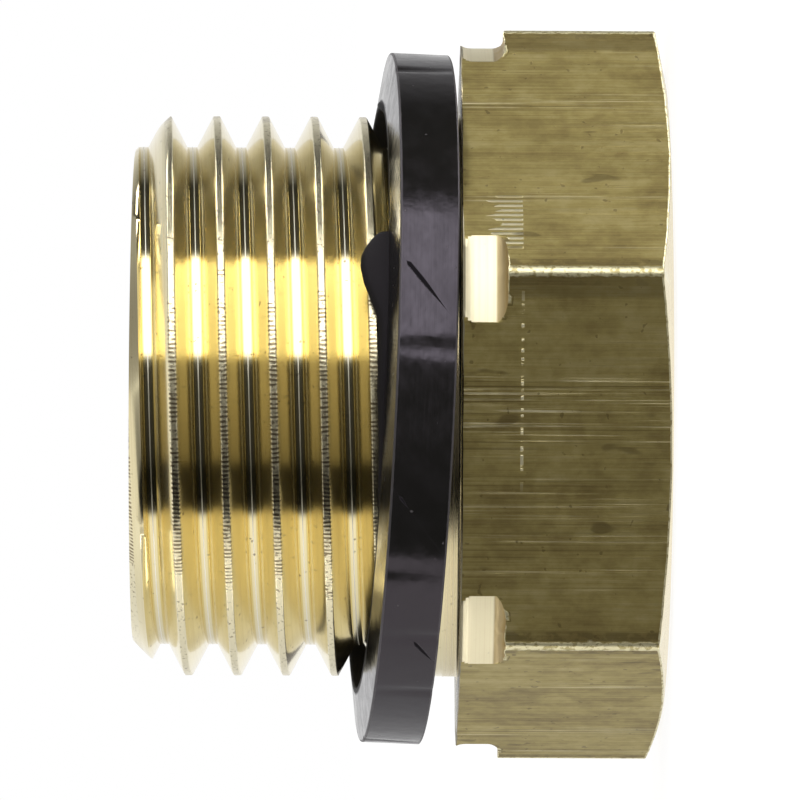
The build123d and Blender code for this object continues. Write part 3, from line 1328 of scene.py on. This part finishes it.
@dataclass(frozen=True)
class ThreadBrass:
    """The cut thread: bright flanks drawn along the helix, and crests torn by the tool."""

    metal: Colour = (0.920, 0.825, 0.530, 1)
    brown: Colour = (0.850, 0.730, 0.440, 1)
    # Darker, deeper gold of the painted shade towards the corners of each root
    corner: Colour = (0.790, 0.630, 0.250, 1)
    # Near-white colour of the painted highlight along the bottom of each root
    root: Colour = (1.0, 0.950, 0.780, 1)
    crest: Colour = (0.940, 0.860, 0.600, 1)
    torn: Colour = (0.200, 0.140, 0.065, 1)
    ticks: int = 395
    roughness: float = 0.14
    root_rough: float = 0.36
    crest_rough: float = 0.27
    root_line: float = 0.024
    root_strip: float = 0.085
    strip_fade: float = 0.06
    root_corner: float = 0.183
    corner_fade: float = 0.004
    brushed: float = 0.55
    brushed_turn: float = 0.25
    beads_middle: float = -1.57

    def make(self, patterns: Patterns) -> bpy.types.Material:
        """Make the material.

        Args:
            patterns: The shared groups.

        Returns:
            The material.
        """
        material, g, shader = start_material("thread_brass")
        point = g.millimetres()
        x, y, z = g.split(point)
        lay = g.attribute("lay")
        cut = g.combine(lay, z * 0.7 + x, y)
        lines = g.group(patterns.grain, Point=cut, Stretch=(17.0, 0.06, 0.06), Contrast=1.7)
        hair = g.group(patterns.grain, Point=cut, Stretch=(52.0, 0.14, 0.14), Contrast=1.8)
        colour = g.blend(g.ease(lines * 0.6 + hair * 0.4, 0.56, 0.26), self.metal, self.brown)
        # Painted shade: a darker, deeper gold strip from the root line out to the corner with the flank
        corner = g.ease(lay, self.root_strip, self.root_strip + self.strip_fade)
        corner = corner * g.ease(lay, self.root_corner + self.corner_fade, self.root_corner)
        colour = g.blend(corner, colour, self.corner)
        # Painted highlight: a near-white line along the bottom of each root
        root = g.ease(lay, self.root_line, 0.6 * self.root_line)
        colour = g.blend(root, colour, self.root)
        on_crest = g.group(patterns.wear, Edge=g.attribute("worn_edge"), Point=point, Scale=5.0, Ragged=0.4)
        turn = g.math("ARCTAN2", y, x)
        ticks = g.math("SINE", turn * self.ticks + g.noise(point, 0.9, 2.0) * 9.0) * 0.5 + 0.5
        beads = g.noise(point, 0.7, 4.0) * 2.2 + g.math("COSINE", (turn - self.beads_middle) * 3.0)
        ticks = ticks * g.ease(beads, 0.75, 1.35)
        tears = g.ease(ticks, 0.35, 0.65) * g.ease(g.noise(point, 3.1), 0.36, 0.52)
        grit = g.group(patterns.specks, Point=point, Scale=9.0, Threshold=0.62)
        tears = g.math("MAXIMUM", tears * 0.85, grit * 0.6)
        colour = g.blend(on_crest, colour, g.blend(tears, self.crest, self.torn))
        pits = g.group(patterns.specks, Point=point, Scale=4.2, Threshold=0.71)
        g.feed(shader.inputs["Base Color"], g.blend(pits * 0.75, colour, self.torn))
        rough = g.lerp(root, self.roughness, self.root_rough)
        g.feed(shader.inputs["Roughness"], g.lerp(on_crest, rough, self.crest_rough))
        shader.inputs["Metallic"].default_value = 1.0
        shader.inputs["Anisotropic"].default_value = self.brushed
        shader.inputs["Anisotropic Rotation"].default_value = self.brushed_turn
        g.feed(shader.inputs["Tangent"], g.run("ShaderNodeTangent", direction_type="RADIAL", axis="Z"))
        emboss(g, shader, on_crest * ticks * 0.4, 0.5, 0.008)
        return material


@dataclass(frozen=True)
class Stroke:
    """A scratch on the outer wall of the ring, from one side and height to another."""

    start: tuple[float, float]
    end: tuple[float, float]
    width: float

    def mask(self, g: Graph, arc: Field, height: Field, radius: float) -> Field:
        """Draw the scratch.

        Args:
            g: The material's graph.
            arc: Distance round the wall in millimetres.
            height: Height on the wall.
            radius: Radius of the wall.

        Returns:
            The scratch's mask.
        """
        first = math.radians(self.start[0]) * radius
        run = (math.radians(self.end[0]) * radius - first, self.end[1] - self.start[1])
        length = math.hypot(*run)
        across = arc - first
        up = height - self.start[1]
        along = across * (run[0] / length) + up * (run[1] / length)
        off = g.math("ABSOLUTE", across * (run[1] / length) - up * (run[0] / length))
        taper = g.ease(along, -0.05, 0.15) * g.ease(along, 0.3 * length, length, 1.0, 0.0)
        return g.ease(off / g.math("MAXIMUM", taper * self.width, 1e-3), 0.5, 1.0, 1.0, 0.0)


@dataclass(frozen=True)
class RingPlastic:
    """The satin black plastic of the sealing ring, scuffed at its edges and scratched."""

    black: Colour = (0.0105, 0.0100, 0.0090, 1)
    scuff: Colour = (0.060, 0.057, 0.055, 1)
    scratch: Colour = (0.001, 0.001, 0.001, 1)
    tint: Colour = (0.93, 0.82, 1.0, 1)
    roughness: float = 0.17
    lug_rough: float = 0.6
    shine: float = 0.63
    lug_shine: float = 0.2
    lug_radius: float = 11.15
    lip_radius: float = 11.1
    wall: float = 12.875
    strokes: tuple[Stroke, ...] = (
        Stroke((-56.7, 1.89), (-65.3, 0.32), 0.10), Stroke((-95.0, 1.85), (-97.3, 1.45), 0.05),
        Stroke((-122.5, 0.9), (-127.0, 0.1), 0.08), Stroke((40.0, 1.6), (47.0, 0.7), 0.06),
        Stroke((150.0, 0.5), (158.0, 1.5), 0.06),
    )

    def make(self, patterns: Patterns, placement: Matrix) -> bpy.types.Material:
        """Make the material.

        Args:
            patterns: The shared groups.
            placement: Transform from the level ring to its place, in millimetres.

        Returns:
            The material.
        """
        material, g, shader = start_material("satin_plastic")
        level = g.add("ShaderNodeMapping", vector_type="TEXTURE")
        level.inputs["Location"].default_value = placement.to_translation()
        level.inputs["Rotation"].default_value = placement.to_euler()
        point = g.fill(level, Vector=g.millimetres())
        x, y, z = g.split(point)
        radius = g.radius(x, y)
        arc = g.math("ARCTAN2", y, x) * self.wall
        marks = self.strokes[0].mask(g, arc, z, self.wall)
        for stroke in self.strokes[1:]:
            marks = g.math("MAXIMUM", marks, stroke.mask(g, arc, z, self.wall))
        marks = marks * g.ease(radius, self.wall - 0.3, self.wall - 0.15)
        lathe = g.combine(radius, z, y * 1.3 + x)
        moulded = g.group(patterns.grain, Point=lathe, Stretch=(7.0, 7.0, 0.12), Contrast=1.4)
        cloud = g.group(patterns.stains, Point=point, Stretch=(1.1, 1.1, 1.1))
        flecks = g.group(patterns.specks, Point=point, Scale=3.4, Threshold=0.74)
        worn = g.group(patterns.wear, Edge=g.attribute("worn_edge"), Point=point, Scale=5.0, Ragged=1.3)
        beyond_lip = g.ease(radius, self.lip_radius, self.lip_radius + 0.2)
        light = g.math("MAXIMUM", worn * 0.7, flecks) * beyond_lip
        colour = g.blend(light, self.black, self.scuff)
        g.feed(shader.inputs["Base Color"], g.blend(marks, colour, self.scratch))
        on_lug = g.ease(radius, self.lug_radius, self.lug_radius - 0.15)
        rough = g.lerp(cloud, self.roughness - 0.03, self.roughness + 0.06)
        for mask, rougher in ((on_lug, self.lug_rough), (light, 0.5), (marks, 1.0)):
            rough = g.lerp(mask, rough, rougher)
        g.feed(shader.inputs["Roughness"], rough)
        g.feed(shader.inputs["Specular IOR Level"], g.lerp(on_lug, self.shine, self.lug_shine))
        shader.inputs["Specular Tint"].default_value = self.tint
        emboss(g, shader, g.noise(point, 1.4, 2.0) * 0.8 + moulded * 0.10 - marks, 0.6, 0.03)
        return material


@dataclass(frozen=True)
class Band:
    """A strip of the studio round the part: its angle, and how bright it is level, higher and far up."""

    angle: float
    middle: float
    ends: float
    far: float = 0.9
    warmth: float = 0.0

    def stop(self, level: float) -> tuple[float, Colour]:
        """Give the strip as a stop of a colour ramp."""
        colour = (level * (1 + self.warmth), level, level * (1 - 1.6 * self.warmth), 1.0)
        return (self.angle + 180) / 360, colour


@dataclass(frozen=True)
class Card:
    """A bright card beside the part: the angles between which it stands, and how bright it is."""

    start: float
    end: float
    level: float

    def mask(self, g: Graph, turn: Field) -> Field:
        """Light the directions that the card fills.

        Args:
            g: The studio's graph.
            turn: The share of a full turn.

        Returns:
            The card's brightness, soft at both edges.
        """
        rising = g.ease(turn, (180 + self.start) / 360, (192 + self.start) / 360)
        falling = g.ease(turn, (170 + self.end) / 360, (180 + self.end) / 360, 1.0, 0.0)
        return rising * falling * self.level


@dataclass
class Studio:
    """The pale floor, the soft light and the camera."""

    camera_side: float = 10.8
    camera_rise: float = 0.4
    camera_roll: float = 0.3
    distance: float = 310.0
    aim_height: float = 9.76
    aim_drop: float = 0.125
    lens: float = 373.9
    sensor: float = 36.0
    floor_size: float = 6.0
    floor_drop: float = 0.00005
    floor_colour: Colour = (0.3, 0.3, 0.3, 1)
    floor_glow: float = 0.85
    ends_lift: tuple[float, float] = (0.11, 0.25)
    far_lift: tuple[float, float] = (0.62, 0.85)
    card_foot: tuple[float, float] = (0.31, 0.36)
    card_top: tuple[float, float] = (0.48, 0.43)
    upper_card: Card = Card(-125, -66, 10.0)
    lower_card: Card = Card(60, 108, 3.5)
    bands: tuple[Band, ...] = (
        Band(-180, 1.00, 1.05), Band(-150, 0.55, 0.44, 0.6), Band(-114, 0.02, 0.04, 0.22),
        Band(-100, 0.03, 0.16, 0.25, 0.06), Band(-68, 0.03, 0.20, 0.28, 0.06), Band(-65, 3.0, 0.88, 0.8),
        Band(-20, 3.0, 0.88, 0.8), Band(-17, 0.02, 0.60, 0.45, 0.02), Band(30, 0.01, 0.27, 0.3, 0.02),
        Band(34, 0.005, 0.005, 0.22), Band(55, 0.005, 0.005, 0.22), Band(58, 1.00, 0.50, 0.8, 0.03),
        Band(95, 0.82, 0.50, 0.8, 0.02), Band(125, 0.68, 0.70), Band(150, 0.65, 0.75),
        Band(180, 1.00, 1.05),
    )

    def place_camera(self) -> None:
        """Place the camera at the photo's view: level with the part, lying on its side."""
        side = math.radians(self.camera_side)
        rise = math.radians(self.camera_rise)
        roll = math.radians(self.camera_roll)
        back = Vector((math.sin(side) * math.cos(rise), -math.cos(side) * math.cos(rise), math.sin(rise)))
        down = Vector((0, 0, -1)) - back * back.dot(Vector((0, 0, -1)))
        right = down.normalized()
        up = back.cross(right)
        tilted_right = right * math.cos(roll) + up * math.sin(roll)
        tilted_up = back.cross(tilted_right)
        aim = Vector((0, 0, self.aim_height)) - up * self.aim_drop
        data = bpy.data.cameras.new("photo_view")
        data.lens = self.lens
        data.sensor_width = self.sensor
        data.clip_start = 0.01
        data.clip_end = 20.0
        camera = add_object("photo_view", data)
        turn = Matrix((tilted_right, tilted_up, back)).transposed().to_4x4()
        camera.matrix_world = Matrix.Translation((aim + back * self.distance) * MM) @ turn
        bpy.context.scene.camera = camera

    def lay_floor(self) -> None:
        """Lay the pale floor, which keeps a light shadow of the part."""
        mesh = bpy.data.meshes.new("floor")
        size = self.floor_size
        corners = [(-size, -size, 0), (size, -size, 0), (size, size, 0), (-size, size, 0)]
        mesh.from_pydata(corners, [], [(0, 1, 2, 3)])
        floor = add_object("floor", mesh)
        floor.location.z = -self.floor_drop
        floor.visible_glossy = False
        material = bpy.data.materials.new("pale_floor")
        material.use_nodes = True
        material.node_tree.nodes.clear()
        g = Graph(material.node_tree)
        matte = g.run("ShaderNodeBsdfDiffuse", self.floor_colour)
        glow = g.fill(g.add("ShaderNodeEmission"), Strength=self.floor_glow)
        both = g.run("ShaderNodeAddShader", matte, glow)
        g.feed(g.add("ShaderNodeOutputMaterial").inputs["Surface"], both)
        mesh.materials.append(material)

    def light(self) -> None:
        """Light the part from a white surround with bright strips, dark flags and two cards in it."""
        world = bpy.data.worlds.new("studio")
        world.use_nodes = True
        world.node_tree.nodes.clear()
        bpy.context.scene.world = world
        g = Graph(world.node_tree)
        x, y, z = g.split(g.add("ShaderNodeTexCoord").outputs["Generated"])
        toward = math.radians(self.camera_side - 90)
        turn = g.math("FRACT", (toward - g.math("ARCTAN2", y, x)) / (2 * math.pi) + 1.5)
        lift = g.math("ABSOLUTE", z)
        middle = g.ramp(turn, [band.stop(band.middle) for band in self.bands])
        ends = g.ramp(turn, [band.stop(band.ends) for band in self.bands])
        far = g.ramp(turn, [band.stop(band.far) for band in self.bands])
        strips = g.blend(g.ease(lift, *self.ends_lift), middle, ends)
        lit = g.blend(g.ease(lift, *self.far_lift), strips, far)
        card = self.upper_card.mask(g, turn) + self.lower_card.mask(g, turn)
        card = card * g.ease(lift, *self.card_foot) * g.ease(lift, *self.card_top)
        lit = g.blend(1.0, lit, g.combine(card, card, card), "ADD")
        seen = g.add("ShaderNodeLightPath").outputs["Is Camera Ray"]
        background = g.run("ShaderNodeBackground", g.blend(seen, lit, (1.0, 1.0, 1.0, 1.0)))
        g.feed(g.add("ShaderNodeOutputWorld").inputs["Surface"], background)

    def build(self) -> None:
        """Set up the whole studio."""
        self.place_camera()
        self.lay_floor()
        self.light()
        bpy.context.scene.view_settings.view_transform = "Standard"


def main() -> None:
    """Build the pieces, dress them, set them on the frame and light them."""
    logging.basicConfig(level=logging.INFO, format="%(name)s %(message)s")
    patterns = Patterns()
    finishes = [DrawnBrass().make(patterns), TurnedBrass().make(patterns), ThreadBrass().make(patterns)]
    body = BrassBody().build(finishes)
    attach(body, "root")
    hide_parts("reducer_body")
    log.info("%s: %d faces", body.name, len(body.data.polygons))

    seal = SealRing()
    ring = seal.build([RingPlastic().make(patterns, seal.placement())])
    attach(ring, "root")
    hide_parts("sealing_ring")
    log.info("%s: %d faces", ring.name, len(ring.data.polygons))

    Studio().build()


if __name__ == "__main__":
    main()
